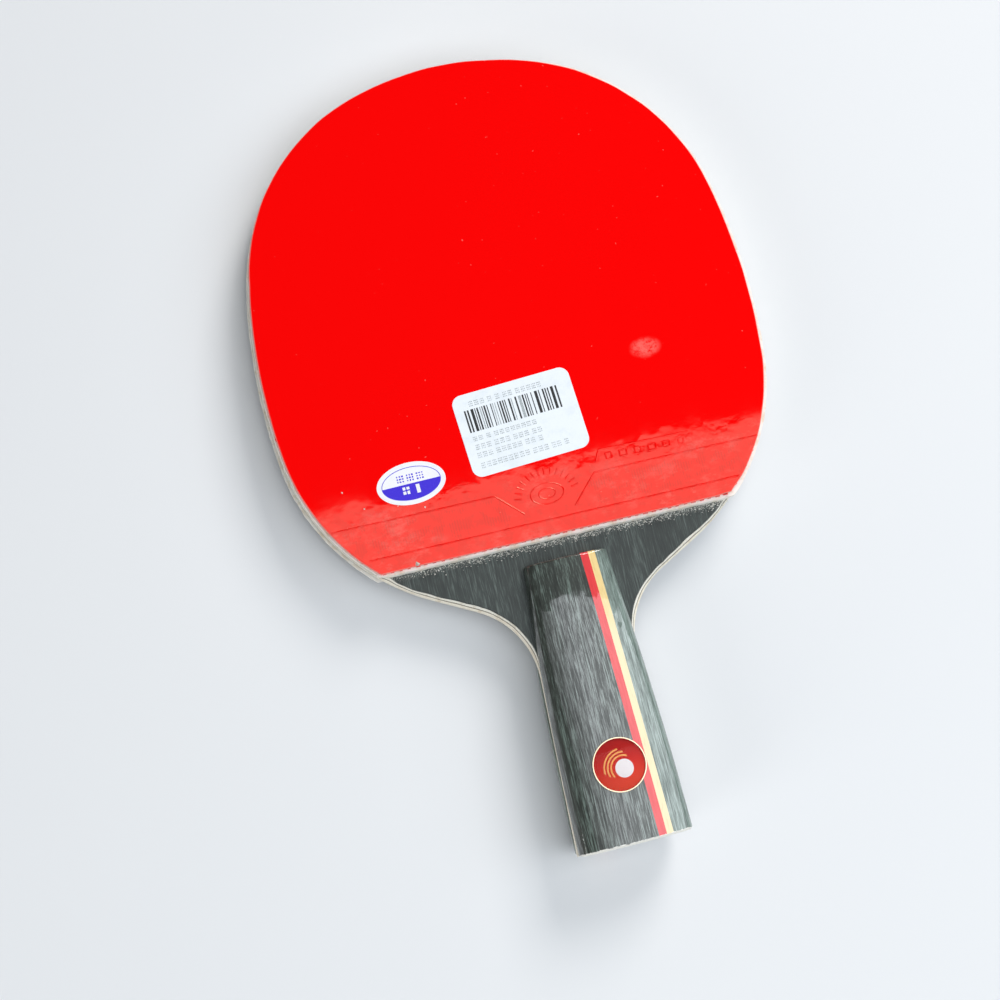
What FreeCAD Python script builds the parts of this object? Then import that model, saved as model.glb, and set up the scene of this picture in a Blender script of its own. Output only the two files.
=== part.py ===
import FreeCAD, Part
import math
import os
import Sketcher
from FreeCAD import Placement, Rotation, Vector

# Short-handled table tennis bat, millimetres.
# Origin: centre of the handle's butt, on the middle plane of the blade.
# +Y runs along the handle to the tip of the head, +Z out of the red playing face.

DIMENSIONS = [
    # outline of the blade, a chain of tangent arcs from the tip down one side to the butt
    ("overall_length", 243.0),
    ("tip_radius", 90.7),
    ("tip_turn", 19.2),
    ("shoulder_radius", 65.4),
    ("shoulder_turn", 59.3),
    ("side_radius", 180.6),
    ("side_turn", 18.0),
    ("cheek_radius", 65.0),
    ("cheek_turn", 55.5),
    ("slope_length", 14.0),
    ("neck_radius", 25.5),
    ("butt_half_width", 17.2),
    # thicknesses of the layers, from the middle plane outwards
    ("core_thickness", 3.2),
    ("dark_ply", 0.3),
    ("outer_ply", 0.6),
    ("face_veneer", 0.5),
    ("sponge_thickness", 2.0),
    ("topsheet_thickness", 1.8),
    # rubber covering
    ("rubber_edge_y", 92.7),
    ("topsheet_inset", 0.45),
    # handle scales, measured above the face veneer
    ("scale_length", 85.5),
    ("butt_scale_half", 17.0),
    ("end_scale_half", 12.6),
    ("scale_side_radius", 1150.0),
    ("scale_height", 12.0),
    ("crown_height", 8.4),
    ("crown_radius", 42.0),
    ("camber_radius", 1040.0),
    ("camber_y", 20.0),
    ("scale_corner_radius", 3.6),
    ("butt_chamfer", 0.6),
    ("end_rounding", 0.8),
    # lamination of the scales
    ("strip_boundary_x", 8.5),
    ("strip_tilt", 1.27),
    ("red_strip_width", 2.4),
    ("cream_strip_width", 2.1),
    ("plank_start_y", -5.0),
    ("plank_reach", 40.0),
    ("plank_length", 100.0),
    # badge let into the front scale
    ("badge_x", -0.2),
    ("badge_y", 23.0),
    ("badge_radius", 7.9),
    ("badge_clearance", 0.05),
    ("recess_height", 5.0),
    ("badge_floor_z", 10.3),
    ("badge_rim_width", 0.3),
    ("badge_cup_floor", 0.25),
    ("badge_cup_height", 0.95),
    ("badge_print_thickness", 0.15),
    ("badge_dome_wall", 0.5),
    ("badge_dome_rise", 0.75),
    # labels stuck on the playing faces
    ("label_width", 36.6),
    ("label_height", 25.5),
    ("label_corner", 3.0),
    ("label_thickness", 0.12),
    ("label_x", -3.0),
    ("label_y", 128.0),
    ("label_turn", 3.5),
    ("oval_major", 10.4),
    ("oval_minor", 6.3),
    ("oval_x", -39.2),
    ("oval_y", 117.25),
    ("oval_turn", 1.0),
]

TURN_OVER = Placement(Vector(), Rotation(Vector(0, 1, 0), 180))
START, END, CENTRE = 1, 2, 3
ORIGIN, X_AXIS, Y_AXIS = -1, -1, -2
# Distances for picking edges by position: two places are the same, or well apart.
SAME_PLACE, CLEAR_OF = 0.01, 1.0

doc = FreeCAD.newDocument("TableTennisPaddle")
sheet = doc.addObject("Spreadsheet::Sheet", "Sheet")
for row, (alias, number) in enumerate(DIMENSIONS, start=1):
    sheet.set("A%d" % row, alias)
    sheet.set("B%d" % row, str(number))
    sheet.setAlias("B%d" % row, alias)
doc.recompute()

nodes = []


def size(alias):
    """Number held in the spreadsheet under this alias."""
    return float(sheet.get(alias))


def keep(item, name):
    """Mark a document object as one finished piece of the bat."""
    item.Label = name
    nodes.append(item)
    return item


# ---------------------------------------------------------------- sketch helpers

def new_body(name):
    return doc.addObject("PartDesign::Body", name + "_body")


def new_sketch(body, name, plane="XY_Plane"):
    sketch = body.newObject("Sketcher::SketchObject", name)
    support = [item for item in body.Origin.OriginFeatures if item.Role == plane][0]
    sketch.AttachmentSupport = (support, "")
    sketch.MapMode = "FlatFace"
    return sketch


def bind(sketch, constraint, expression):
    """Add a sizing constraint and tie it to the spreadsheet."""
    index = sketch.addConstraint(constraint)
    sketch.setExpression("Constraints[%d]" % index, expression)


def pad(body, sketch, name, expression):
    feature = body.newObject("PartDesign::Pad", name)
    feature.Profile = sketch
    feature.setExpression("Length", expression)
    body.Tip = feature
    return feature


def arc_at(centre, radius, first, last):
    """Arc of a circle in the sketch plane, counter-clockwise between two angles."""
    circle = Part.Circle(Vector(centre[0], centre[1], 0), Vector(0, 0, 1), radius)
    return Part.ArcOfCircle(circle, first, last)


def line_between(first, last):
    return Part.LineSegment(Vector(first[0], first[1], 0), Vector(last[0], last[1], 0))


def on_circle(centre, radius, angle):
    return (centre[0] + radius * math.cos(angle), centre[1] + radius * math.sin(angle))


def mirrored(point):
    return (-point[0], point[1])


# ---------------------------------------------------------------- outline of the head

def side_arcs():
    """Convex arcs of the right side below the tip: name, centre, radius, lower and upper angle."""
    radius = size("tip_radius")
    centre = (0.0, size("overall_length") - radius)
    upper = math.pi / 2 - math.radians(size("tip_turn"))
    arcs = []
    for name in ("shoulder", "side", "cheek"):
        centre = on_circle(centre, radius - size(name + "_radius"), upper)
        radius = size(name + "_radius")
        lower = upper - math.radians(size(name + "_turn"))
        arcs.append((name, centre, radius, lower, upper))
        upper = lower
    return arcs


def draw_tip(sketch, inset, inset_term):
    """Arc over the tip of the head, centred on the axis; returns its right and left ends."""
    radius = size("tip_radius")
    turn = math.radians(size("tip_turn"))
    centre = (0.0, size("overall_length") - radius)
    tip = sketch.addGeometry(
        arc_at(centre, radius - inset, math.pi / 2 - turn, math.pi / 2 + turn))
    sketch.addConstraint(Sketcher.Constraint("PointOnObject", tip, CENTRE, Y_AXIS))
    sketch.addConstraint(Sketcher.Constraint("Horizontal", tip, START, tip, END))
    bind(sketch, Sketcher.Constraint("DistanceY", ORIGIN, START, tip, CENTRE, centre[1]),
         "Sheet.overall_length - Sheet.tip_radius")
    bind(sketch, Sketcher.Constraint("Radius", tip, radius - inset),
         "Sheet.tip_radius" + inset_term)
    bind(sketch, Sketcher.Constraint("Angle", tip, 2 * turn), "2 * Sheet.tip_turn * 1 deg")
    return (tip, START), (tip, END)


def extend(sketch, ends, right, right_ends, left, left_ends):
    """Continue both sides of the outline smoothly by one edge and its mirror image."""
    edge = sketch.addGeometry(right)
    twin = sketch.addGeometry(left)
    sketch.addConstraint(Sketcher.Constraint("Tangent", edge, right_ends[0], *ends[0]))
    sketch.addConstraint(Sketcher.Constraint("Coincident", twin, left_ends[0], *ends[1]))
    if isinstance(right, Part.ArcOfCircle):
        sketch.addConstraint(Sketcher.Constraint("Equal", edge, twin))
    sketch.addConstraint(Sketcher.Constraint(
        "Symmetric", edge, right_ends[1], twin, left_ends[1], Y_AXIS))
    return edge, ((edge, right_ends[1]), (twin, left_ends[1]))


def draw_head(sketch, inset, inset_term, free_cheek):
    """Tip and convex sides, moved inwards by the inset; returns the two lower ends."""
    ends = draw_tip(sketch, inset, inset_term)
    for name, centre, radius, lower, upper in side_arcs():
        edge, ends = extend(
            sketch, ends,
            arc_at(centre, radius - inset, lower, upper), (END, START),
            arc_at(mirrored(centre), radius - inset, math.pi - upper, math.pi - lower),
            (START, END))
        bind(sketch, Sketcher.Constraint("Radius", edge, radius - inset),
             "Sheet.%s_radius%s" % (name, inset_term))
        if name != "cheek" or not free_cheek:
            bind(sketch, Sketcher.Constraint("Angle", edge, upper - lower),
                 "Sheet.%s_turn * 1 deg" % name)
    return ends


def draw_cross_edge(sketch, ends, width):
    """Straight edge square to the axis, joining the two lower ends."""
    level = sketch.getPoint(*ends[0]).y
    edge = sketch.addGeometry(line_between((width / 2, level), (-width / 2, level)))
    sketch.addConstraint(Sketcher.Constraint("Coincident", edge, START, *ends[0]))
    sketch.addConstraint(Sketcher.Constraint("Coincident", edge, END, *ends[1]))


def draw_blade_outline(sketch):
    """Whole blade: head, sloping lower edge, concave neck and tapered tang down to the butt."""
    ends = draw_head(sketch, 0.0, "", False)
    centre, radius, angle = side_arcs()[-1][1:4]
    start = on_circle(centre, radius, angle)
    length = size("slope_length")
    end = (start[0] + length * math.sin(angle), start[1] - length * math.cos(angle))
    slope, ends = extend(sketch, ends, line_between(start, end), (START, END),
                         line_between(mirrored(start), mirrored(end)), (START, END))
    bind(sketch, Sketcher.Constraint("Distance", slope, length), "Sheet.slope_length")

    neck = size("neck_radius")
    butt = size("butt_half_width")
    hollow = on_circle(end, neck, angle)
    reach = math.hypot(hollow[0] - butt, hollow[1])
    lean = math.atan2(hollow[0] - butt, hollow[1]) - math.asin(neck / reach)
    first, last = angle + math.pi, math.pi - lean
    arc, ends = extend(sketch, ends, arc_at(hollow, neck, first, last), (START, END),
                       arc_at(mirrored(hollow), neck, math.pi - last, math.pi - first),
                       (END, START))
    bind(sketch, Sketcher.Constraint("Radius", arc, neck), "Sheet.neck_radius")

    throat = on_circle(hollow, neck, last)
    tang, ends = extend(sketch, ends, line_between(throat, (butt, 0.0)), (START, END),
                        line_between(mirrored(throat), (-butt, 0.0)), (START, END))
    sketch.addConstraint(Sketcher.Constraint("PointOnObject", tang, END, X_AXIS))
    bind(sketch, Sketcher.Constraint("DistanceX", ORIGIN, START, tang, END, butt),
         "Sheet.butt_half_width")
    draw_cross_edge(sketch, ends, 2 * butt)


def draw_rubber_outline(sketch, inset, inset_term):
    """Head only, cut straight across above the handle."""
    ends = draw_head(sketch, inset, inset_term, True)
    level = size("rubber_edge_y")
    bind(sketch, Sketcher.Constraint("DistanceY", ORIGIN, START, ends[0][0], ends[0][1], level),
         "Sheet.rubber_edge_y")
    half = sketch.getPoint(*ends[0]).x
    draw_cross_edge(sketch, ends, 2 * half)


# ---------------------------------------------------------------- blade and rubbers

BLADE_STACK = ["0.5 * Sheet.core_thickness", "Sheet.dark_ply", "Sheet.outer_ply",
               "Sheet.face_veneer"]
VENEER_TOP = " + ".join(BLADE_STACK)
SPONGE_TOP = VENEER_TOP + " + Sheet.sponge_thickness"
TOPSHEET_TOP = SPONGE_TOP + " + Sheet.topsheet_thickness"


def make_core():
    body = new_body("blade_core")
    sketch = new_sketch(body, "blade_core_outline")
    draw_blade_outline(sketch)
    core = pad(body, sketch, "blade_core_pad", "Sheet.core_thickness")
    core.SideType = "Symmetric"
    keep(body, "blade_core")


def make_layer(name, side, draw, bottom, thickness):
    """One flat layer above the core on the front, or turned over to the back."""
    node = name + "_" + side
    body = new_body(node)
    sketch = new_sketch(body, node + "_outline")
    sketch.setExpression("AttachmentOffset.Base.z", bottom)
    draw(sketch)
    pad(body, sketch, node + "_pad", thickness)
    if side == "back":
        body.Placement = TURN_OVER
    keep(body, node)


def make_side_layers(side):
    """Plies, sponge and topsheet of one side, from the core outwards."""
    plies = [("dark_ply", "Sheet.dark_ply"), ("outer_ply", "Sheet.outer_ply"),
             ("face_veneer", "Sheet.face_veneer")]
    for count, (name, thickness) in enumerate(plies, start=1):
        bottom = " + ".join(BLADE_STACK[:count])
        make_layer("blade_" + name, side, draw_blade_outline, bottom, thickness)
    make_layer("rubber_sponge", side, lambda sketch: draw_rubber_outline(sketch, 0.0, ""),
               VENEER_TOP, "Sheet.sponge_thickness")
    make_layer("rubber_topsheet", side,
               lambda sketch: draw_rubber_outline(
                   sketch, size("topsheet_inset"), " - Sheet.topsheet_inset"),
               SPONGE_TOP, "Sheet.topsheet_thickness")


# ---------------------------------------------------------------- handle scales

def draw_scale_plan(sketch):
    """Plan of a scale: square ends and sides that curve in towards the head."""
    butt = size("butt_scale_half")
    end = size("end_scale_half")
    length = size("scale_length")
    radius = size("scale_side_radius")
    chord = math.hypot(butt - end, length)
    along = ((end - butt) / chord, length / chord)
    depth = math.sqrt(radius ** 2 - chord ** 2 / 4)
    centre = ((butt + end) / 2 - depth * along[1], length / 2 + depth * along[0])
    first = math.atan2(-centre[1], butt - centre[0])
    last = math.atan2(length - centre[1], end - centre[0])

    base = sketch.addGeometry(line_between((-butt, 0), (butt, 0)))
    sketch.addConstraint(Sketcher.Constraint("PointOnObject", base, START, X_AXIS))
    sketch.addConstraint(Sketcher.Constraint("Symmetric", base, START, base, END, Y_AXIS))
    bind(sketch, Sketcher.Constraint("DistanceX", base, START, base, END, 2 * butt),
         "2 * Sheet.butt_scale_half")
    top = sketch.addGeometry(line_between((end, length), (-end, length)))
    sketch.addConstraint(Sketcher.Constraint("Symmetric", top, START, top, END, Y_AXIS))
    bind(sketch, Sketcher.Constraint("DistanceX", top, END, top, START, 2 * end),
         "2 * Sheet.end_scale_half")
    bind(sketch, Sketcher.Constraint("DistanceY", ORIGIN, START, top, START, length),
         "Sheet.scale_length")
    right = sketch.addGeometry(arc_at(centre, radius, first, last))
    left = sketch.addGeometry(arc_at(mirrored(centre), radius, math.pi - last, math.pi - first))
    sketch.addConstraint(Sketcher.Constraint("Coincident", right, START, base, END))
    sketch.addConstraint(Sketcher.Constraint("Coincident", right, END, top, START))
    sketch.addConstraint(Sketcher.Constraint("Coincident", left, START, top, END))
    sketch.addConstraint(Sketcher.Constraint("Coincident", left, END, base, START))
    sketch.addConstraint(Sketcher.Constraint("Equal", right, left))
    bind(sketch, Sketcher.Constraint("Radius", right, radius), "Sheet.scale_side_radius")


def make_crown(side):
    """Large ring whose outer surface is the crown: rounded across, gently cambered along."""
    crown = doc.addObject("Part::Torus", "scale_crown_" + side)
    crown.setExpression("Radius1", "Sheet.camber_radius - Sheet.crown_radius")
    crown.setExpression("Radius2", "Sheet.crown_radius")
    crown.Placement = Placement(Vector(), Rotation(Vector(0, 1, 0), 90))
    crown.setExpression("Placement.Base.y", "Sheet.camber_y")
    crown.setExpression("Placement.Base.z", VENEER_TOP + " + Sheet.crown_height"
                        " - Sheet.camber_radius")
    return crown


def edge_numbers(shape, wanted):
    return [index for index, edge in enumerate(shape.Edges, start=1) if wanted(edge.BoundBox)]


def dress_edges(kind, name, base, numbers, amount):
    """Round or bevel the numbered edges of a solid."""
    dressed = doc.addObject(kind, name)
    dressed.Base = base
    dressed.Edges = [(number, amount, amount) for number in numbers]
    doc.recompute()
    return dressed


def make_scale_blank(side):
    """Whole crowned scale before it is divided into its glued planks."""
    body = new_body("scale_plan_" + side)
    sketch = new_sketch(body, "scale_outline_" + side)
    draw_scale_plan(sketch)
    pad(body, sketch, "scale_pad_" + side, "Sheet.scale_height")
    body.setExpression("Placement.Base.z", VENEER_TOP)
    crowned = doc.addObject("Part::Common", "scale_crowned_" + side)
    crowned.Base = body
    crowned.Tool = make_crown(side)
    doc.recompute()

    glue_face = body.Shape.BoundBox.ZMin + CLEAR_OF
    length = size("scale_length")
    ridges = edge_numbers(crowned.Shape,
                          lambda box: box.YLength > length / 2 and box.ZMin > glue_face
                          and abs(box.Center.x) > CLEAR_OF)
    rounded = dress_edges("Part::Fillet", "scale_rounded_" + side, crowned, ridges,
                          size("scale_corner_radius"))
    butt = edge_numbers(rounded.Shape,
                        lambda box: box.YMax < SAME_PLACE and box.ZMax > glue_face)
    bevelled = dress_edges("Part::Chamfer", "scale_bevelled_" + side, rounded, butt,
                           size("butt_chamfer"))
    end = edge_numbers(bevelled.Shape,
                       lambda box: box.YMin > length - SAME_PLACE and box.ZMax > glue_face)
    return dress_edges("Part::Fillet", "scale_blank_" + side, bevelled, end,
                       size("end_rounding"))


PLANKS = [
    ("main_block", "-(Sheet.red_strip_width + Sheet.plank_reach)", "Sheet.plank_reach"),
    ("red_strip", "-Sheet.red_strip_width", "Sheet.red_strip_width"),
    ("cream_strip", "0", "Sheet.cream_strip_width"),
    ("side_block", "Sheet.cream_strip_width", "Sheet.plank_reach"),
]


def make_plank(name, side, offset, width):
    """Upright plank along the handle, leaning slightly from the axis."""
    plank = doc.addObject("Part::Box", "plank_%s_%s" % (name, side))
    plank.setExpression("Length", width)
    plank.setExpression("Width", "Sheet.plank_length")
    plank.setExpression("Height", "Sheet.plank_reach")
    plank.Placement = Placement(Vector(), Rotation(Vector(0, 0, 1), size("strip_tilt")))
    plank.setExpression("Placement.Rotation.Angle", "Sheet.strip_tilt * 1 deg")
    plank.setExpression("Placement.Base.x", "Sheet.strip_boundary_x + (%s)"
                        " * cos(Sheet.strip_tilt * 1 deg)" % offset)
    plank.setExpression("Placement.Base.y", "Sheet.plank_start_y + (%s)"
                        " * sin(Sheet.strip_tilt * 1 deg)" % offset)
    return plank


def make_badge_recess():
    """Round seat milled into the front scale for the badge."""
    recess = doc.addObject("Part::Cylinder", "badge_recess")
    recess.setExpression("Radius", "Sheet.badge_radius + Sheet.badge_clearance")
    recess.setExpression("Height", "Sheet.recess_height")
    recess.setExpression("Placement.Base.x", "Sheet.badge_x")
    recess.setExpression("Placement.Base.y", "Sheet.badge_y")
    recess.setExpression("Placement.Base.z", "Sheet.badge_floor_z")
    return recess


def make_handle(side):
    """Scale of one side as its four laminated pieces."""
    blank = make_scale_blank(side)
    for name, offset, width in PLANKS:
        node = "handle_%s_%s" % (name, side)
        piece = doc.addObject("Part::Common", node + "_piece")
        piece.Base = blank
        piece.Tool = make_plank(name, side, offset, width)
        if side == "front" and name in ("main_block", "red_strip"):
            seated = doc.addObject("Part::Cut", node + "_seated")
            seated.Base = piece
            seated.Tool = make_badge_recess()
            piece = seated
        if side == "back":
            piece.Placement = TURN_OVER
        keep(piece, node)


# ---------------------------------------------------------------- badge

def revolve(name, draw, bottom):
    """Body turned about the badge's own upright axis, standing on the floor of its seat."""
    body = new_body(name)
    sketch = new_sketch(body, name + "_profile", "XZ_Plane")
    draw(sketch)
    turned = body.newObject("PartDesign::Revolution", name + "_revolution")
    turned.Profile = sketch
    turned.ReferenceAxis = (sketch, ["V_Axis"])
    turned.Angle = 360
    body.Tip = turned
    body.setExpression("Placement.Base.x", "Sheet.badge_x")
    body.setExpression("Placement.Base.y", "Sheet.badge_y")
    body.setExpression("Placement.Base.z", bottom)
    keep(body, name)


def chain_corners(sketch, corners):
    """Open chain of straight edges through the corners; returns the edge numbers."""
    edges = []
    for first, last in zip(corners, corners[1:]):
        edges.append(sketch.addGeometry(line_between(first, last)))
    for first, last in zip(edges, edges[1:]):
        sketch.addConstraint(Sketcher.Constraint("Coincident", first, END, last, START))
    return edges


def square_up(sketch, edges, corners):
    """Make each straight edge horizontal or vertical, as its corners are."""
    for edge, first, last in zip(edges, corners, corners[1:]):
        kind = "Horizontal" if first[1] == last[1] else "Vertical"
        sketch.addConstraint(Sketcher.Constraint(kind, edge))


def draw_cup(sketch):
    """Thin metal cup: floor and an upstanding rim."""
    radius = size("badge_radius")
    inner = radius - size("badge_rim_width")
    floor = size("badge_cup_floor")
    height = size("badge_cup_height")
    corners = [(0, 0), (radius, 0), (radius, height), (inner, height), (inner, floor),
               (0, floor), (0, 0)]
    edges = chain_corners(sketch, corners)
    sketch.addConstraint(Sketcher.Constraint("Coincident", edges[0], START, ORIGIN, START))
    sketch.addConstraint(Sketcher.Constraint("Coincident", edges[-1], END, edges[0], START))
    square_up(sketch, edges, corners)
    bind(sketch, Sketcher.Constraint("DistanceX", edges[0], START, edges[0], END, radius),
         "Sheet.badge_radius")
    bind(sketch, Sketcher.Constraint("DistanceY", edges[1], START, edges[1], END, height),
         "Sheet.badge_cup_height")
    bind(sketch, Sketcher.Constraint("DistanceX", edges[2], END, edges[2], START, radius - inner),
         "Sheet.badge_rim_width")
    bind(sketch, Sketcher.Constraint("DistanceY", edges[5], END, edges[5], START, floor),
         "Sheet.badge_cup_floor")


def draw_print(sketch):
    """Printed disc that lies in the cup."""
    inner = size("badge_radius") - size("badge_rim_width")
    thickness = size("badge_print_thickness")
    corners = [(0, 0), (inner, 0), (inner, thickness), (0, thickness), (0, 0)]
    edges = chain_corners(sketch, corners)
    sketch.addConstraint(Sketcher.Constraint("Coincident", edges[0], START, ORIGIN, START))
    sketch.addConstraint(Sketcher.Constraint("Coincident", edges[-1], END, edges[0], START))
    square_up(sketch, edges, corners)
    bind(sketch, Sketcher.Constraint("DistanceX", edges[0], START, edges[0], END, inner),
         "Sheet.badge_radius - Sheet.badge_rim_width")
    bind(sketch, Sketcher.Constraint("DistanceY", edges[1], START, edges[1], END, thickness),
         "Sheet.badge_print_thickness")


def draw_dome(sketch):
    """Clear resin: a short wall and a shallow dome over it."""
    inner = size("badge_radius") - size("badge_rim_width")
    wall = size("badge_dome_wall")
    rise = size("badge_dome_rise")
    ball = (inner ** 2 + rise ** 2) / (2 * rise)
    rule = ("((Sheet.badge_radius - Sheet.badge_rim_width) ^ 2 + Sheet.badge_dome_rise ^ 2)"
            " / (2 * Sheet.badge_dome_rise)")
    top = wall + rise
    corners = [(0, top), (0, 0), (inner, 0), (inner, wall)]
    edges = chain_corners(sketch, corners)
    lean = math.asin((ball - rise) / ball)
    dome = sketch.addGeometry(arc_at((0, top - ball), ball, lean, math.pi / 2))
    square_up(sketch, edges, corners)
    sketch.addConstraint(Sketcher.Constraint("Coincident", edges[1], START, ORIGIN, START))
    sketch.addConstraint(Sketcher.Constraint("Coincident", dome, START, edges[2], END))
    sketch.addConstraint(Sketcher.Constraint("Coincident", dome, END, edges[0], START))
    sketch.addConstraint(Sketcher.Constraint("PointOnObject", dome, CENTRE, Y_AXIS))
    bind(sketch, Sketcher.Constraint("DistanceX", edges[1], START, edges[1], END, inner),
         "Sheet.badge_radius - Sheet.badge_rim_width")
    bind(sketch, Sketcher.Constraint("DistanceY", edges[2], START, edges[2], END, wall),
         "Sheet.badge_dome_wall")
    bind(sketch, Sketcher.Constraint("Radius", dome, ball), rule)


def make_badge():
    revolve("badge_cup", draw_cup, "Sheet.badge_floor_z")
    revolve("badge_printed_disc", draw_print, "Sheet.badge_floor_z + Sheet.badge_cup_floor")
    revolve("badge_resin_dome", draw_dome,
            "Sheet.badge_floor_z + Sheet.badge_cup_floor + Sheet.badge_print_thickness")


# ---------------------------------------------------------------- labels

def draw_label(sketch):
    """Rectangle with round corners, centred on the origin."""
    half_x = size("label_width") / 2
    half_y = size("label_height") / 2
    radius = size("label_corner")
    in_x = half_x - radius
    in_y = half_y - radius
    bottom = sketch.addGeometry(line_between((-in_x, -half_y), (in_x, -half_y)))
    right = sketch.addGeometry(line_between((half_x, -in_y), (half_x, in_y)))
    top = sketch.addGeometry(line_between((in_x, half_y), (-in_x, half_y)))
    left = sketch.addGeometry(line_between((-half_x, in_y), (-half_x, -in_y)))
    sides = [bottom, right, top, left]
    centres = [(in_x, -in_y), (in_x, in_y), (-in_x, in_y), (-in_x, -in_y)]
    corners = []
    for turn, (edge, centre) in enumerate(zip(sides, centres)):
        start = -math.pi / 2 + turn * math.pi / 2
        corner = sketch.addGeometry(arc_at(centre, radius, start, start + math.pi / 2))
        sketch.addConstraint(Sketcher.Constraint("Tangent", corner, START, edge, END))
        sketch.addConstraint(
            Sketcher.Constraint("Tangent", corner, END, sides[(turn + 1) % 4], START))
        corners.append(corner)
    for corner in corners[1:]:
        sketch.addConstraint(Sketcher.Constraint("Equal", corners[0], corner))
    sketch.addConstraint(Sketcher.Constraint("Horizontal", top))
    sketch.addConstraint(Sketcher.Constraint("Vertical", left))
    sketch.addConstraint(Sketcher.Constraint("Symmetric", bottom, START, bottom, END, Y_AXIS))
    sketch.addConstraint(Sketcher.Constraint("Symmetric", right, START, right, END, X_AXIS))
    bind(sketch, Sketcher.Constraint("Radius", corners[0], radius), "Sheet.label_corner")
    bind(sketch, Sketcher.Constraint("DistanceX", ORIGIN, START, right, START, half_x),
         "Sheet.label_width / 2")
    bind(sketch, Sketcher.Constraint("DistanceY", bottom, START, ORIGIN, START, half_y),
         "Sheet.label_height / 2")


def make_barcode_label():
    body = new_body("barcode_label")
    sketch = new_sketch(body, "barcode_label_outline")
    draw_label(sketch)
    pad(body, sketch, "barcode_label_pad", "Sheet.label_thickness")
    body.Placement = Placement(Vector(), Rotation(Vector(0, 0, 1), size("label_turn")))
    body.setExpression("Placement.Rotation.Angle", "Sheet.label_turn * 1 deg")
    body.setExpression("Placement.Base.x", "Sheet.label_x")
    body.setExpression("Placement.Base.y", "Sheet.label_y")
    body.setExpression("Placement.Base.z", TOPSHEET_TOP)
    keep(body, "barcode_label")


def make_oval_sticker(side):
    """Oval inspection sticker on one playing face."""
    ellipse = doc.addObject("Part::Ellipse", "oval_outline_" + side)
    ellipse.setExpression("MajorRadius", "Sheet.oval_major")
    ellipse.setExpression("MinorRadius", "Sheet.oval_minor")
    ellipse.Placement = Placement(Vector(), Rotation(Vector(0, 0, 1), size("oval_turn")))
    ellipse.setExpression("Placement.Rotation.Angle", "Sheet.oval_turn * 1 deg")
    ellipse.setExpression("Placement.Base.x", "Sheet.oval_x")
    ellipse.setExpression("Placement.Base.y", "Sheet.oval_y")
    ellipse.setExpression("Placement.Base.z", TOPSHEET_TOP)
    sticker = doc.addObject("Part::Extrusion", "oval_sticker_%s_solid" % side)
    sticker.Base = ellipse
    sticker.Dir = Vector(0, 0, 1)
    sticker.DirMode = "Custom"
    sticker.Solid = True
    sticker.setExpression("LengthFwd", "Sheet.label_thickness")
    if side == "back":
        sticker.Placement = TURN_OVER
    keep(sticker, "oval_sticker_" + side)


# ---------------------------------------------------------------- assembly

def check_document():
    """Stop on any failed object or on a piece without a sound solid."""
    for item in doc.Objects:
        if "Invalid" in item.State or "Error" in item.State:
            raise RuntimeError("failed object: " + item.Label)
    for item in nodes:
        if item.Shape.isNull() or not item.Shape.isValid() or not item.Shape.Solids:
            raise RuntimeError("unsound piece: " + item.Label)


def write_pieces():
    os.makedirs("parts", exist_ok=True)
    for item in nodes:
        item.Shape.exportStep(os.path.join("parts", item.Label + ".step"))
        box = item.Shape.BoundBox
        print("%-28s volume %10.1f mm3  z %6.2f to %6.2f" % (
            item.Label, item.Shape.Volume, box.ZMin, box.ZMax))


make_core()
for face in ("front", "back"):
    make_side_layers(face)
    make_handle(face)
    make_oval_sticker(face)
make_badge()
make_barcode_label()
doc.recompute()
check_document()
write_pieces()
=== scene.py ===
import math
import random

import bmesh
import bpy
import numpy as np
from mathutils import Matrix, Vector, noise


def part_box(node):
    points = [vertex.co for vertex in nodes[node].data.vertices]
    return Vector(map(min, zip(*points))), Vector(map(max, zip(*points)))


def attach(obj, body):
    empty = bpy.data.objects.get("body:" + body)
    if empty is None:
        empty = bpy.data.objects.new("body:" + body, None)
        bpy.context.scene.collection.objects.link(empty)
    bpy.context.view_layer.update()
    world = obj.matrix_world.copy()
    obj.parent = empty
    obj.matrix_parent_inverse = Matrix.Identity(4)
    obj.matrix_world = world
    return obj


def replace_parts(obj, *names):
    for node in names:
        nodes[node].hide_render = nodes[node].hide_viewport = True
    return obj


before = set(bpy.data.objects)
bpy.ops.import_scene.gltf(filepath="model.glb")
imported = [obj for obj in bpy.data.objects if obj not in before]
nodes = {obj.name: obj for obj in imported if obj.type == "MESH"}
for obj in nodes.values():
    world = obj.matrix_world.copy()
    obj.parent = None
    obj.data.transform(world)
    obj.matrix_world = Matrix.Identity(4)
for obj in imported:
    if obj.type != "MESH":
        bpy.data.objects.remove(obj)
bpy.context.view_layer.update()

MM = 0.001

# Camera: where it stands, the point it looks at on the blade's middle plane, and which way is up.
CAMERA_AT = Vector((-0.0798, 0.0356, 0.5134))
CAMERA_AIM = Vector((-0.0139, 0.1074, 0.0))
CAMERA_UP = Vector((0.22305, 0.96108, 0.16305))
CAMERA_LENS = 62.7

# Heights of the layers above the middle plane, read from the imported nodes.
VENEER_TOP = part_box("blade_face_veneer_front")[1].z
SPONGE_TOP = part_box("rubber_sponge_front")[1].z
FACE_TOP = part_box("rubber_topsheet_front")[1].z
LABEL_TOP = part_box("barcode_label")[1].z
RUBBER_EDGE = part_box("rubber_sponge_front")[0].y
SHEET_THICKNESS = 0.9 * MM

# How far printed shapes stand up, and how far stuck-on shapes reach into what is below them.
INK = 0.02 * MM
SUNK = 0.01 * MM
JOINED = 0.02 * MM

SIDES = {"front": 1.0, "back": -1.0}


# ---------------------------------------------------------------- outlines

# A face is level if its normal's z is over this; an outline has a corner where it turns more.
LEVEL, CORNER = 0.9, math.radians(20)
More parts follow.
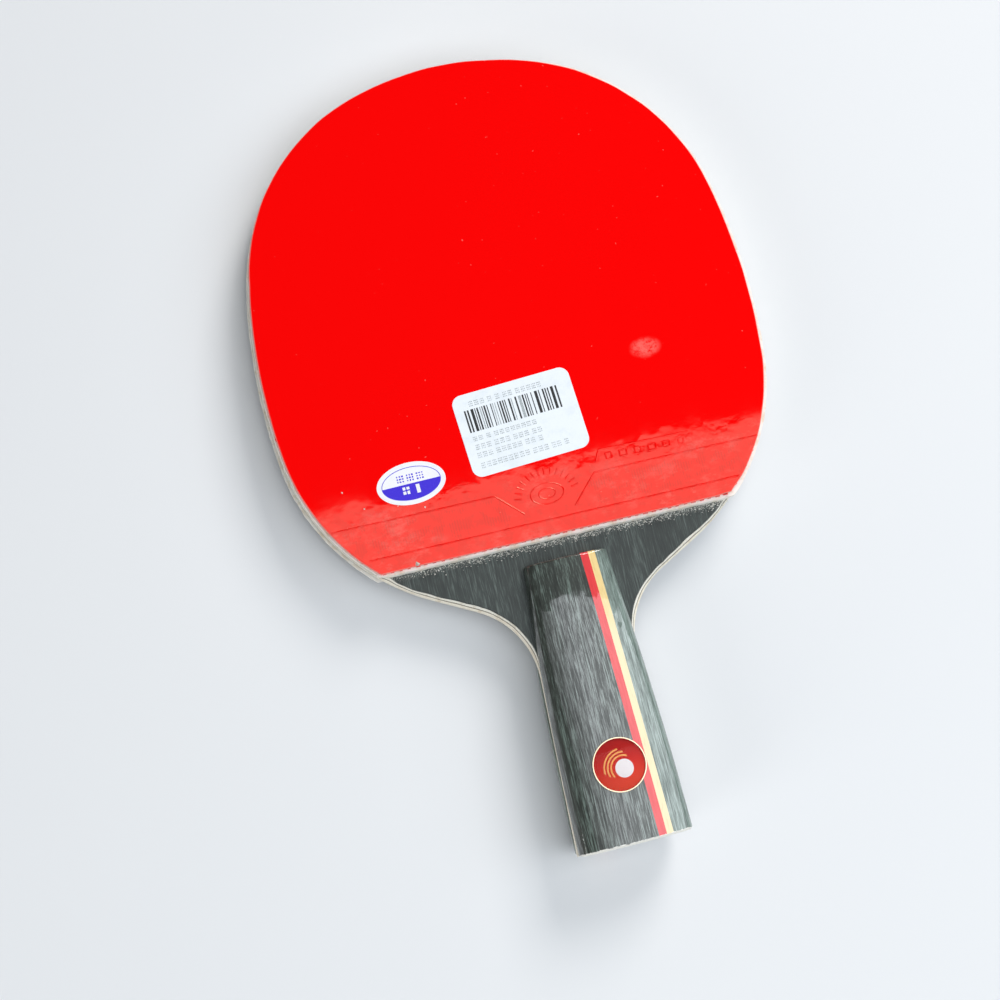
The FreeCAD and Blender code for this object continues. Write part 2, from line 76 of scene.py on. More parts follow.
# A mitre reaches no further than where the cosine of half the turn is this.
MITRE_LIMIT = 0.6


def top_outline(node):
    """Corner points of a flat node's upper face, anticlockwise, as an array of x and y."""
    mesh = bmesh.new()
    mesh.from_mesh(nodes[node].data)
    bmesh.ops.remove_doubles(mesh, verts=mesh.verts, dist=1e-6)
    mesh.normal_update()
    upper = set(face for face in mesh.faces if face.normal.z > LEVEL)
    follows = {}
    for face in upper:
        for loop in face.loops:
            others = [other for other in loop.edge.link_faces if other is not face]
            if not any(other in upper for other in others):
                follows[loop.vert] = loop.link_loop_next.vert
    start = min(follows, key=lambda vert: (vert.co.y, vert.co.x))
    points = [start]
    while follows[points[-1]] is not start:
        points.append(follows[points[-1]])
    outline = np.array([(vert.co.x, vert.co.y) for vert in points])
    mesh.free()
    return outline


def resample(outline, spacing):
    """Even steps along each smooth stretch of a closed outline; sharp corners stay."""
    before = np.roll(outline, 1, axis=0)
    after = np.roll(outline, -1, axis=0)
    into, out_of = outline - before, after - outline
    turn = np.abs(np.arctan2(into[:, 0] * out_of[:, 1] - into[:, 1] * out_of[:, 0],
                             (into * out_of).sum(1)))
    corners = list(np.nonzero(turn > CORNER)[0])
    rolled = np.roll(outline, -corners[0], axis=0)
    marks = [corner - corners[0] for corner in corners] + [len(outline)]
    rolled = np.vstack([rolled, rolled[:1]])
    points = []
    for first, last in zip(marks, marks[1:]):
        stretch = rolled[first:last + 1]
        steps = np.hypot(*np.diff(stretch, axis=0).T)
        run = np.concatenate([[0], np.cumsum(steps)])
        count = max(1, round(run[-1] / spacing))
        at = np.linspace(0, run[-1], count, endpoint=False)
        points.append(np.column_stack([np.interp(at, run, stretch[:, 0]),
                                       np.interp(at, run, stretch[:, 1])]))
    return np.vstack(points)


def inward(outline):
    """Unit inward directions at each point of an anticlockwise outline, mitred at corners."""
    into = outline - np.roll(outline, 1, axis=0)
    out_of = np.roll(outline, -1, axis=0) - outline
    first = np.column_stack([-into[:, 1], into[:, 0]]) / np.hypot(*into.T)[:, None]
    second = np.column_stack([-out_of[:, 1], out_of[:, 0]]) / np.hypot(*out_of.T)[:, None]
    middle = first + second
    middle /= np.hypot(*middle.T)[:, None]
    return middle / np.maximum(MITRE_LIMIT, (middle * first).sum(1))[:, None]


def ripple(outline, wavelength, seed):
    """Smooth irregular numbers along an outline, mostly from -1 to 1."""
    gain = 1.6
    return np.array([noise.noise(Vector((x / wavelength, y / wavelength, seed)))
                     for x, y in outline]) * gain


# ---------------------------------------------------------------- mesh helpers

def add_piece(name, mesh, material):
    """Object from a mesh, riding on the bat's one body, with the given name and material."""
    piece = bpy.data.objects.new(name, mesh)
    bpy.context.scene.collection.objects.link(piece)
    mesh.materials.append(material)
    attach(piece, "root")
    return piece


def mesh_from(name, verts, faces):
    mesh = bpy.data.meshes.new(name)
    mesh.from_pydata([tuple(vert) for vert in verts], [], faces)
    mesh.validate()
    tidy = bmesh.new()
    tidy.from_mesh(mesh)
    bmesh.ops.recalc_face_normals(tidy, faces=tidy.faces)
    tidy.to_mesh(mesh)
    tidy.free()
    return mesh


def stacked_layer(name, outline, rings, side):
    """Closed plate built from copies of the outline, each (height, inset), bottom first."""
    direction = inward(outline)
    count = len(outline)
    verts, faces = [], []
    for height, inset in rings:
        ring = outline + direction * np.broadcast_to(inset, count)[:, None]
        verts += [(x * side, y, height * side) for x, y in ring]
    for level in range(len(rings) - 1):
        for i in range(count):
            j = (i + 1) % count
            low, high = level * count, (level + 1) * count
            faces.append((low + i, low + j, high + j, high + i))
    faces.append(tuple(range(count))[::-1])
    faces.append(tuple(range((len(rings) - 1) * count, len(rings) * count)))
    return mesh_from(name, verts, faces)


class Shapes:
    """Collects many small closed solids into one mesh."""

    def __init__(self):
        self.verts = []
        self.faces = []

    def prism(self, outline, low, high):
        """Upright prism over an outline of (x, y) points."""
        start, count = len(self.verts), len(outline)
        self.verts += [(x, y, low) for x, y in outline]
        self.verts += [(x, y, high) for x, y in outline]
        for i in range(count):
            j = (i + 1) % count
            self.faces.append((start + i, start + j, start + count + j, start + count + i))
        self.faces.append(tuple(start + i for i in range(count))[::-1])
        self.faces.append(tuple(start + count + i for i in range(count)))

    def ridge(self, path, width, height, base):
        """Low rounded ridge along an open path of (x, y) points."""
        profile = [(-0.5, -0.1), (-0.32, 0.62), (0.0, 1.0), (0.32, 0.62), (0.5, -0.1)]
        start, across = len(self.verts), len(profile)
        points = [Vector(point) for point in path]
        for i, point in enumerate(points):
            ahead = points[min(i + 1, len(points) - 1)]
            behind = points[max(i - 1, 0)]
            way = (ahead - behind).normalized()
            normal = Vector((-way.y, way.x))
            for shift, rise in profile:
                spot = point + normal * shift * width
                self.verts.append((spot.x, spot.y, base + rise * height))
        for i in range(len(points) - 1):
            for j in range(across):
                k = (j + 1) % across
                low, high = start + i * across, start + (i + 1) * across
                self.faces.append((low + j, low + k, high + k, high + j))
        last = start + (len(points) - 1) * across
        self.faces.append(tuple(start + j for j in range(across)))
        self.faces.append(tuple(last + j for j in range(across))[::-1])

    def crumb(self, centre, size, rng):
        """Small irregular eight-sided flake."""
        start = len(self.verts)
        turn = rng.uniform(0, math.pi)
        for step in range(4):
            angle = turn + step * math.pi / 2 + rng.uniform(-0.4, 0.4)
            reach = size * rng.uniform(0.5, 1.3)
            self.verts.append((centre[0] + reach * math.cos(angle),
                               centre[1] + reach * math.sin(angle), centre[2]))
        lift = size * rng.uniform(0.4, 0.9)
        self.verts.append((centre[0], centre[1], centre[2] + lift))
        self.verts.append((centre[0], centre[1], centre[2] - 0.3 * size))
        for step in range(4):
            after = start + (step + 1) % 4
            self.faces.append((start + step, after, start + 4))
            self.faces.append((after, start + step, start + 5))

    def mesh(self, name, side=1.0):
        """The mesh, turned over about the handle's axis for the back."""
        return mesh_from(name, [(x * side, y, z * side) for x, y, z in self.verts], self.faces)


def turned(centre, x, y, turn):
    """Point at x, y from a centre, on axes turned by an angle."""
    return (centre[0] + x * math.cos(turn) - y * math.sin(turn),
            centre[1] + x * math.sin(turn) + y * math.cos(turn))


def ellipse_points(centre, half_x, half_y, count, turn=0.0):
    angles = [2 * math.pi * step / count for step in range(count)]
    return [turned(centre, half_x * math.cos(angle), half_y * math.sin(angle), turn)
            for angle in angles]


def bar_points(centre, width, height, turn=0.0):
    return [turned(centre, right * width / 2, up * height / 2, turn)
            for right, up in ((-1, -1), (1, -1), (1, 1), (-1, 1))]


def along(start, end):
    """Points on a straight line, both ends included."""
    spacing = 1.5 * MM
    first, last = Vector(start), Vector(end)
    count = max(1, round((last - first).length / spacing))
    return [tuple(first.lerp(last, i / count)) for i in range(count + 1)]


# ---------------------------------------------------------------- material helpers

class Surface:
    """One procedural material, with short calls for the nodes it is made of."""

    def __init__(self, name, **values):
        self.material = bpy.data.materials.new(name)
        self.material.use_nodes = True
        self.tree = self.material.node_tree
        self.shader = self.tree.nodes["Principled BSDF"]
        for socket, value in values.items():
            self.shader.inputs[socket.replace("_", " ")].default_value = value
        self.place = self.tree.nodes.new("ShaderNodeTexCoord").outputs["Object"]

    def node(self, kind, **settings):
        made = self.tree.nodes.new("ShaderNode" + kind)
        for key, value in settings.items():
            setattr(made, key, value)
        return made

    def feed(self, socket, value):
        """Link an output to an input, or set the input to a number or colour."""
        if isinstance(value, bpy.types.NodeSocket):
            self.tree.links.new(value, socket)
        else:
            socket.default_value = value

    def math(self, operation, *values, clamp=False):
        made = self.node("Math", operation=operation, use_clamp=clamp)
        for socket, value in zip(made.inputs, values):
            self.feed(socket, value)
        return made.outputs[0]

    def stretched(self, scale):
        """Object coordinates in metres, scaled along each axis."""
        made = self.node("Mapping")
        self.feed(made.inputs["Vector"], self.place)
        made.inputs["Scale"].default_value = scale
        return made.outputs[0]

    def noise(self, scale, detail=4.0, stretch=(1, 1, 1), roughness=0.55):
        """Noise with the given number of blotches per metre."""
        made = self.node("TexNoise")
        self.feed(made.inputs["Vector"], self.stretched(stretch))
        made.inputs["Scale"].default_value = scale
        made.inputs["Detail"].default_value = detail
        made.inputs["Roughness"].default_value = roughness
        return made.outputs[0]

    def cells(self, scale, stretch=(1, 1, 1)):
        """Distance from the nearest of many scattered points, the given number per metre."""
        made = self.node("TexVoronoi")
        self.feed(made.inputs["Vector"], self.stretched(stretch))
        made.inputs["Scale"].default_value = scale
        return made.outputs["Distance"]

    def ramp(self, value, stops):
        """Colours at places from 0 to 1."""
        made = self.node("ValToRGB")
        self.feed(made.inputs[0], value)
        elements = made.color_ramp.elements
        while len(elements) < len(stops):
            elements.new(0.5)
        for element, (place, colour) in zip(elements, stops):
            element.position = place
            element.color = (*colour, 1.0)
        return made.outputs[0]

    def range(self, value, low, high, to_low=0.0, to_high=1.0):
        """Carry a number from one range to another, held at the ends."""
        made = self.node("MapRange", interpolation_type="SMOOTHSTEP")
        for socket, number in zip(made.inputs, (value, low, high, to_low, to_high)):
            self.feed(socket, number)
        return made.outputs[0]

    def mix(self, share, first, second):
        made = self.node("Mix", data_type="RGBA")
        self.feed(made.inputs["Factor"], share)
        for socket, colour in ((made.inputs["A"], first), (made.inputs["B"], second)):
            self.feed(socket, colour if isinstance(colour, bpy.types.NodeSocket) else (*colour, 1))
        return made.outputs["Result"]

    def axes(self):
        made = self.node("SeparateXYZ")
        self.feed(made.inputs[0], self.place)
        return made.outputs

    def bump(self, height, distance, socket="Normal"):
        """Small relief of the shader or of its coat; returns the bumped normal."""
        made = self.node("Bump")
        made.inputs["Distance"].default_value = distance
        self.feed(made.inputs["Height"], height)
        self.feed(self.shader.inputs[socket], made.outputs[0])
        return made.outputs[0]

    def colour(self, value):
        self.feed(self.shader.inputs["Base Color"], value)

    def rough(self, value):
        self.feed(self.shader.inputs["Roughness"], value)


# ---------------------------------------------------------------- materials

# Moulded band of the rubber beside the handle: dust and ribs, by height along Y.
BAND_FADES_FROM, BAND_FULL_AT = 117 * MM, 109 * MM
RIBBED, RIB_FADE, RIB_PITCH = (98.2 * MM, 107.2 * MM), 0.6 * MM, 0.8 * MM
SCUFF, SCUFF_HALF = (39.5 * MM, 142 * MM), (4.2 * MM, 2.8 * MM)


def rubber_surface(name, body, dust, scuff):
    """Glossy rubber: a faint waviness, ribs with painted shading and dust in the moulded band, a
    scuff, a pale edge.
    """
    made = Surface(name, Specular_IOR_Level=0.5, Specular_Tint=(1, 0.9, 0.66, 1))
    x, y, z = made.axes()
    band = made.range(y, BAND_FADES_FROM, BAND_FULL_AT)
    wisps = made.range(made.noise(110, 9, (1, 1.7, 1), 0.72), 0.46, 0.64)
    patches = made.range(made.noise(42, 3), 0.4, 0.6)
    dusty = made.math("MULTIPLY", made.math("MULTIPLY", wisps, patches), band)
    specks = made.range(made.noise(800, 2), 0.755, 0.79)
    across, up = (made.math("DIVIDE", made.math("SUBTRACT", place, middle), half)
                  for place, middle, half in zip((x, y), scuff, SCUFF_HALF))
    away = made.math("ADD", made.math("POWER", across, 2), made.math("POWER", up, 2))
    rubbed = made.math("MULTIPLY", made.range(away, 1.7, 0.2), made.range(
        made.noise(330, 6, roughness=0.8), 0.4, 0.6), clamp=True)
    marks = made.math("MAXIMUM", made.math("MULTIPLY", dusty, 0.2), made.math(
        "MAXIMUM", made.math("MULTIPLY", rubbed, 0.3), made.math("MULTIPLY", specks, 0.25)))
    ribs = made.math("SINE", made.math("MULTIPLY", x, 2 * math.pi / RIB_PITCH))
    low, high = RIBBED
    within = made.math("MULTIPLY", made.range(y, low, low + RIB_FADE),
                       made.range(y, high, high - RIB_FADE))
    beside = made.math("MULTIPLY", made.range(made.math("ABSOLUTE", x), 10 * MM, 13 * MM),
                       made.range(made.noise(150, 3), 0.38, 0.6, 0.2, 1.0))
    ribbed = made.math("MULTIPLY", ribs, made.math("MULTIPLY", within, beside))
    blotch = made.math("MULTIPLY", made.range(made.noise(300, 4), 0.42, 0.6), band)
    # Painted shading: the ribs are painted as alternating darker stripes; the blotches darken the
    # band's red.
    shade = made.math("ADD", made.math("MULTIPLY", blotch, 0.35),
                      made.math("MULTIPLY", made.range(ribbed, 0, 1), 0.28), clamp=True)
    height = made.math("ABSOLUTE", z)
    edge = made.math("MULTIPLY", made.range(height, FACE_TOP - 0.02 * MM, FACE_TOP - 0.05 * MM),
                     made.range(height, FACE_TOP - SHEET_THICKNESS, FACE_TOP - 0.8 * MM))
    marks = made.math("MAXIMUM", marks, made.math("MULTIPLY", edge, 0.45))
    made.colour(made.mix(marks, made.mix(shade, body, tuple(0.68 * c for c in body)), dust))
    made.rough(made.math("ADD", made.range(made.noise(70, 5, roughness=0.7), 0.35, 0.75,
                                           0.02, 0.045), made.math("MULTIPLY", marks, 0.6)))
    waves = made.math("ADD", made.math("MULTIPLY", made.noise(26, 2), 1.3),
                      made.math("MULTIPLY", made.noise(105, 2), 0.16))
    dimples = made.math("MULTIPLY", made.math("MULTIPLY", made.noise(420, 3), band), 0.16)
    made.bump(made.math("ADD", waves, made.math("ADD", dimples, made.math(
        "MULTIPLY", ribbed, 0.02))), 0.1 * MM)
    return made.material


def sponge_surface():
    """Open-celled foam with a yellowed cut edge, its pores painted darker as painted shade in the
    holes.
    """
    made = Surface("foam_sponge", Roughness=0.85)
    stain = made.range(made.noise(260, 5, roughness=0.7), 0.42, 0.68)
    cream = made.mix(stain, (0.96, 0.93, 0.88), (0.82, 0.72, 0.58))
    # Painted shade: the pores are darkened as shaded holes would look.
    pores = made.range(made.cells(3200), 0.25, 0.05)
    made.colour(made.mix(made.math("MULTIPLY", pores, 0.15), cream, (0.4, 0.33, 0.26)))
    made.bump(made.cells(3200), 0.03 * MM)
    return made.material


def timber_surface(name, pale, dark, ring=420.0):
    """Bare wood cut along Y, with fine grain lines and open pores."""
    made = Surface(name, Roughness=0.62)
    grain = made.noise(ring, 6, (1, 0.03, 1), 0.7)
    pores = made.range(made.noise(2200, 3, (1, 0.06, 1)), 0.56, 0.68)
    wood = made.ramp(grain, [(0.32, dark), (0.5, pale), (0.7, tuple(0.93 * c for c in pale))])
    made.colour(made.mix(made.math("MULTIPLY", pores, 0.45), wood, dark))
    made.bump(made.math("SUBTRACT", grain, pores), 0.012 * MM)
    return made.material


# Glue dust lies on the veneer up to this far from the rubber; the sponge's ledge covers the rest.
DUST_REACH, FOAM_LEDGE = 3.4 * MM, 0.9 * MM


def veneer_surface():
    """Black-dyed veneer, satin, with lighter fibres and glue dust near the rubber."""
    made = Surface("black_dyed_veneer", Coat_Weight=0.12, Coat_Roughness=0.25)
    _, y, _ = made.axes()
    fibres = made.noise(2300, 4, (1, 0.06, 1), 0.7)
    bands = made.noise(150, 3, (1, 0.08, 1))
    streaks = made.math("ADD", made.math("MULTIPLY", fibres, 0.7),
                        made.math("MULTIPLY", bands, 0.3))
    dyed = made.ramp(streaks, [(0.36, (0.008, 0.012, 0.01)), (0.5, (0.024, 0.033, 0.03)),
                               (0.62, (0.095, 0.12, 0.11))])
    near = made.range(y, RUBBER_EDGE - DUST_REACH, RUBBER_EDGE - FOAM_LEDGE)
    specks = made.range(made.noise(3000, 3, roughness=0.75), 0.53, 0.62)
    made.colour(made.mix(made.math("MULTIPLY", near, specks), dyed, (0.6, 0.6, 0.54)))
    made.rough(made.range(fibres, 0.35, 0.7, 0.45, 0.62))
    made.bump(fibres, 0.02 * MM)
    return made.material


# Painted sheen: a strip keeps its own colour above the first of these heights, and is mostly
# painted pale below the second, standing in for the softbox it mirrors.
SHEEN_HEIGHTS = (70 * MM, 58 * MM)
# The sawn end of the handle shows where the normal's y is below these.
END_FACING = (-0.8, -0.9)
# The worn rim of the butt reaches this far up, give or take the knocks.
WORN_RIM, KNOCKS = (1.45 * MM, 1.2 * MM), 1.3 * MM


def lacquered_surface(name, stops, pitted, gloss=1.78, flecked=0.15, painted_sheen=None):
    """Lacquered handle wood: short fibres, pitted lacquer, worn pale at the butt's edge, and where
    given, a painted sheen lower down.
    """
    made = Surface(name, Coat_Roughness=0.03, Coat_IOR=gloss)
    _, y, _ = made.axes()
    fibres = made.noise(2500, 4, (1, 0.05, 1), 0.72)
    broad = made.noise(260, 3, (1, 0.04, 1))
    flecks = made.range(made.noise(1500, 2, (1, 0.14, 1)), 0.62, 0.7)
    wood = made.ramp(made.math("ADD", made.math("MULTIPLY", fibres, 0.68),
                               made.math("MULTIPLY", broad, 0.32)), stops)
    # Painted sheen: lower down the handle the colour is painted paler, as the mirrored softbox
    # would make it.
    if painted_sheen:
        wood = made.mix(made.range(y, *SHEEN_HEIGHTS, 0, 0.75), wood, painted_sheen)
    wood = made.mix(made.math("MULTIPLY", flecks, flecked), wood,
                    tuple(0.4 * c for c in stops[0][1]))
    knocks = made.math("MULTIPLY", made.noise(600, 6, roughness=0.8), KNOCKS)
    upright = made.node("SeparateXYZ")
    made.feed(upright.inputs[0], made.node("NewGeometry").outputs["Normal"])
    end = made.range(upright.outputs[1], *END_FACING)
    worn = made.math("MULTIPLY", made.range(made.math("ADD", y, knocks), *WORN_RIM),
                     made.math("SUBTRACT", 1.0, end))
    rings = made.cells(900, (1, 0.2, 1))
    cut = made.mix(rings, tuple(0.5 * c for c in stops[1][1]), stops[1][1])
    made.colour(made.mix(worn, made.mix(end, wood, cut), (0.9, 0.87, 0.8)))
    made.rough(made.range(fibres, 0.3, 0.7, 0.4, 0.55))
    made.feed(made.shader.inputs["Coat Weight"], made.range(fibres, 0.42, 0.58, pitted, 0.95))
    made.bump(fibres, 0.01 * MM)
    swells = made.math("MULTIPLY", made.noise(95, 2), 0.45)
    ripples = made.math("MULTIPLY", made.noise(700, 2, (1, 0.2, 1)), 0.02)
    made.bump(made.math("ADD", swells, ripples), 0.1 * MM, "Coat Normal")
    return made.material


def metal_surface():
    """Thin gilt badge metal with fine scratches."""
    made = Surface("gilt_badge_metal", Metallic=1.0)
    marks = made.noise(1800, 4, (1, 0.15, 1))
    made.colour(made.ramp(marks, [(0.3, (0.62, 0.47, 0.3)), (0.7, (0.96, 0.82, 0.6))]))
    made.rough(made.range(marks, 0.3, 0.7, 0.2, 0.4))
    made.bump(marks, 0.02 * MM)
    return made.material


def badge_print_surface():
    """Red badge print, lighter towards the butt, with a metallic fleck."""
    made = Surface("badge_red_print", Roughness=0.5, Specular_IOR_Level=0.12)
    lowest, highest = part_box("badge_printed_disc")
    _, y, _ = made.axes()
    shade = made.range(y, lowest.y, highest.y)
    fleck = made.range(made.noise(5200, 2), 0.58, 0.7)
    red = made.ramp(shade, [(0.0, (0.8, 0.05, 0.015)), (0.55, (0.62, 0.014, 0.008)),
                            (1.0, (0.4, 0.008, 0.008))])
    made.colour(made.mix(made.math("MULTIPLY", fleck, 0.15), red, (0.8, 0.2, 0.12)))
    return made.material


# Kept low, so that the mirrored room doesn't veil the print.
RESIN_IOR = 1.2


def resin_surface():
    """Clear poured resin: it shows the print and mirrors as much as its Fresnel share."""
    made = Surface("clear_resin", Metallic=1.0)
    made.colour(made.mix(made.noise(150, 2), (1.0, 0.98, 0.95), (0.98, 0.99, 1.0)))
    made.rough(made.range(made.noise(900, 3), 0.3, 0.7, 0.01, 0.05))
    normal = made.bump(made.noise(160, 2), 0.03 * MM)
    mirror = made.node("Fresnel")
    mirror.inputs["IOR"].default_value = RESIN_IOR
    made.feed(mirror.inputs["Normal"], normal)
    made.feed(made.shader.inputs["Alpha"], mirror.outputs[0])
    return made.material


def paper_surface(name, pale, rubbed, gloss):
    """Coated label paper, slightly mottled and rubbed."""
    made = Surface(name)
    mottle = made.noise(180, 6, roughness=0.7)
    fibre = made.range(made.noise(2400, 4), 0.56, 0.72)
    tone = made.mix(made.range(mottle, 0.45, 0.7), pale, rubbed)
    made.colour(made.mix(made.math("MULTIPLY", fibre, 0.25), tone,
                         tuple(0.85 * c for c in rubbed)))
    made.rough(made.range(mottle, 0.3, 0.7, gloss, gloss + 0.15))
    made.bump(made.noise(700, 3), 0.02 * MM)
    return made.material


def ink_surface(name, full, thin):
    """Printed ink that thins out in tiny patches."""
    made = Surface(name, Roughness=0.45)
    made.colour(made.mix(made.range(made.noise(2600, 3), 0.5, 0.66), full, thin))
    made.bump(made.noise(3000, 2), 0.01 * MM)
    return made.material


def crumb_surface():
    """Dried glue and foam dust."""
    made = Surface("dried_glue", Roughness=0.7)
    tone = made.noise(700, 4)
    made.colour(made.ramp(tone, [(0.35, (0.5, 0.48, 0.42)), (0.6, (0.85, 0.83, 0.78))]))
    made.bump(made.noise(4000, 2), 0.05 * MM)
    return made.material


RED = (0.98, 0.0, 0.0005)
BLACK = (0.014, 0.014, 0.016)

red_rubber = rubber_surface("red_pimple_in_rubber", RED, (0.98, 0.42, 0.36), SCUFF)
black_rubber = rubber_surface("black_pimple_in_rubber", BLACK, (0.2, 0.2, 0.2),
                              (-SCUFF[0] * 0.7, SCUFF[1] + 22 * MM))
foam = sponge_surface()
pale_wood = timber_surface("pale_ply_wood", (0.92, 0.86, 0.73), (0.7, 0.59, 0.44))
outer_wood = timber_surface("outer_ply_wood", (0.9, 0.87, 0.78), (0.68, 0.62, 0.5), 600.0)
glue_ply = timber_surface("dark_glued_ply", (0.24, 0.2, 0.155), (0.1, 0.083, 0.064))
black_veneer = veneer_surface()
handle_wood = lacquered_surface("dyed_handle_wood", [
    (0.37, (0.009, 0.012, 0.009)), (0.5, (0.03, 0.038, 0.03)), (0.61, (0.15, 0.2, 0.175))],
    0.35, gloss=2.1, flecked=0.6)
# The side block is painted lighter than the main block: partly its own tone, partly a painted
# sheen standing in for the softbox it faces.
side_block_and_sheen = lacquered_surface("dyed_side_wood_and_sheen", [
    (0.35, (0.045, 0.062, 0.054)), (0.5, (0.17, 0.225, 0.2)), (0.61, (0.33, 0.42, 0.385))],
    0.45, gloss=2.1, flecked=0.4)
red_strip = lacquered_surface("red_dyed_strip", [
    (0.3, (0.68, 0.014, 0.02)), (0.5, (0.82, 0.02, 0.028)), (0.7, (0.88, 0.05, 0.05))], 0.8)
cream_strip = lacquered_surface("cream_wood_strip", [
    (0.3, (0.78, 0.5, 0.17)), (0.5, (0.9, 0.66, 0.27)), (0.7, (0.94, 0.74, 0.38))],
    0.8, painted_sheen=(0.95, 0.79, 0.5))
gilt = metal_surface()
badge_red = badge_print_surface()
orange_ink = ink_surface("orange_print_ink", (0.9, 0.36, 0.06), (0.95, 0.6, 0.2))
resin = resin_surface()
label_paper = paper_surface("label_paper", (0.86, 0.91, 0.97), (0.78, 0.84, 0.9), 0.3)
sticker_paper = paper_surface("sticker_film", (0.92, 0.92, 0.96), (0.84, 0.84, 0.9), 0.2)
black_ink = ink_surface("black_label_ink", (0.006, 0.006, 0.008), (0.03, 0.032, 0.035))
grey_ink = ink_surface("grey_label_ink", (0.36, 0.4, 0.42), (0.62, 0.67, 0.7))
violet_ink = ink_surface("violet_sticker_ink", (0.03, 0.004, 0.66), (0.045, 0.012, 0.7))
white_ink = ink_surface("white_print_ink", (0.9, 0.9, 0.92), (0.8, 0.8, 0.84))
crumbs = crumb_surface()


# ---------------------------------------------------------------- blade

# How strongly the edge is sanded, and the heights between which the neck's share fades out.
HEAD_BEVEL, NECK_BEVEL, TANG_BEVEL = 0.12, 1.0, 0.22
NECK_TOP, NECK_FADE = RUBBER_EDGE - 2 * MM, 3 * MM
TANG_TOP, TANG_FADE = 66 * MM, 14 * MM
OUTLINE_STEP = 1.2 * MM


def smooth(value):
    """Ease from 0 to 1, held at the ends."""
    value = np.clip(value, 0, 1)
    return value * value * (3 - 2 * value)


blade = resample(top_outline("blade_face_veneer_front"), OUTLINE_STEP)
above_neck = smooth((blade[:, 1] - NECK_TOP) / NECK_FADE)
below_neck = smooth((TANG_TOP - blade[:, 1]) / TANG_FADE)
sanded = (NECK_BEVEL + (HEAD_BEVEL - NECK_BEVEL) * above_neck
          + (TANG_BEVEL - NECK_BEVEL) * below_neck)
sanded *= 1 + 0.1 * smooth(blade[:, 0] / (20 * MM))
wear = 1 + 0.22 * ripple(blade, 7 * MM, 1.0)

# Heights and how far in each layer's edge is sanded at the neck, in millimetres.
LAYERS = [("blade_face_veneer", black_veneer, "black_veneer", ((2.5, 1.22), (3.0, 1.5))),
          ("blade_outer_ply", outer_wood, "pale_wood", ((1.9, 0.7), (2.5, 1.22))),
          ("blade_dark_ply", glue_ply, "dark_ply", ((1.6, 0.5), (1.9, 0.7)))]

for face, side in SIDES.items():
    for node, material, slot, rings in LAYERS:
        jitter = 1 + 0.1 * ripple(blade, 3 * MM, rings[0][0])
        layer = stacked_layer(node + "_edge_" + face, blade,
                              [(z * MM, inset * MM * sanded * wear * jitter)
                               for z, inset in rings], side)
        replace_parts(add_piece(layer.name, layer, material), node + "_" + face)

core = stacked_layer("blade_core_wood", blade,
                     [(z * MM, inset * MM * sanded * wear)
                      for z, inset in ((-1.6, 0.5), (-0.9, 0.0), (0.9, 0.0), (1.6, 0.5))], 1.0)
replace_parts(add_piece(core.name, core, pale_wood), "blade_core")


# ---------------------------------------------------------------- rubber

PIP_PITCH, PIP_RADIUS, PIP_BAND = 2.5 * MM, 0.8 * MM, 8.0 * MM
CUT_PIPS, FIRST_CUT_PIP = 43, -53 * MM
# Glue dust beside the rubber's lower edge, in millimetres: where it lies and how far it falls.
DUST_FLAKES, LARGE_FLAKES = 1000, 16
DUST_LEFT, DUST_WIDE, DUST_GAP, DUST_FALL = -51, 104, 1.1, 3.0
RUBBER_SURFACES = {"front": (red_rubber, "red_rubber"), "back": (black_rubber, "black_rubber")}

sheet_outline = resample(top_outline("rubber_topsheet_front"), OUTLINE_STEP)
foam_outline = resample(top_outline("rubber_sponge_front"), OUTLINE_STEP)


def inside(point, outline):
    """Whether a point lies within a closed outline."""
    x, y = point
    after = np.roll(outline, -1, axis=0)
    crosses = (outline[:, 1] > y) != (after[:, 1] > y)
    rise = np.where(crosses, after[:, 1] - outline[:, 1], 1.0)
    at = outline[:, 0] + (y - outline[:, 1]) * (after[:, 0] - outline[:, 0]) / rise
    return bool(np.count_nonzero(crosses & (at > x)) % 2)


def pip_field(outline, seed):
    """Short round pips between sheet and sponge, in a band along the cut edge."""
    field = Shapes()
    rng = random.Random(seed)
    low, high = outline.min(0), outline.max(0)
    row_step = PIP_PITCH * math.sqrt(0.75)
    for row in range(int((high[1] - low[1]) / row_step) + 1):
        for column in range(int((high[0] - low[0]) / PIP_PITCH) + 1):
            shift = rng.uniform(-0.05, 0.05) * MM
            centre = (low[0] + (column + 0.5 * (row % 2)) * PIP_PITCH + shift,
                      low[1] + PIP_RADIUS + 0.1 * MM + row * row_step)
            reach = np.hypot(*(outline - centre).T).min()
            if PIP_RADIUS < reach < PIP_BAND and inside(centre, outline):
                field.prism(ellipse_points(centre, PIP_RADIUS, PIP_RADIUS, 10),
                            SPONGE_TOP - JOINED, FACE_TOP - SHEET_THICKNESS + JOINED)
    return field


# The sheet's corner beside the handle is worn back, and the sponge stands proud of the sheet.
WORN_CORNER, WORN_REACH, WORN_BACK = (55 * MM, 93 * MM), 7 * MM, 0.5 * MM
PROUD, LEAN = 0.75, 0.3
NECK_HALF, NECK_EASE, RIGHT_EASE = 56 * MM, 5 * MM, 50 * MM


def sheet_rings(seed):
    """The sheet's edge: cut by hand, so it wanders, and is rounded over above."""
    corner = np.hypot(*(sheet_outline - WORN_CORNER).T)
    wander = (0.12 + 0.1 * ripple(sheet_outline, 9 * MM, seed)) * MM
    wander = np.maximum(wander, 0) + WORN_BACK * smooth(1 - corner / WORN_REACH)
    below = FACE_TOP - SHEET_THICKNESS
    return [(below, wander + 0.12 * MM), (below + 0.12 * MM, wander),
            (FACE_TOP - 0.26 * MM, wander), (FACE_TOP - 0.1 * MM, wander + 0.1 * MM),
            (FACE_TOP, wander + 0.32 * MM)]


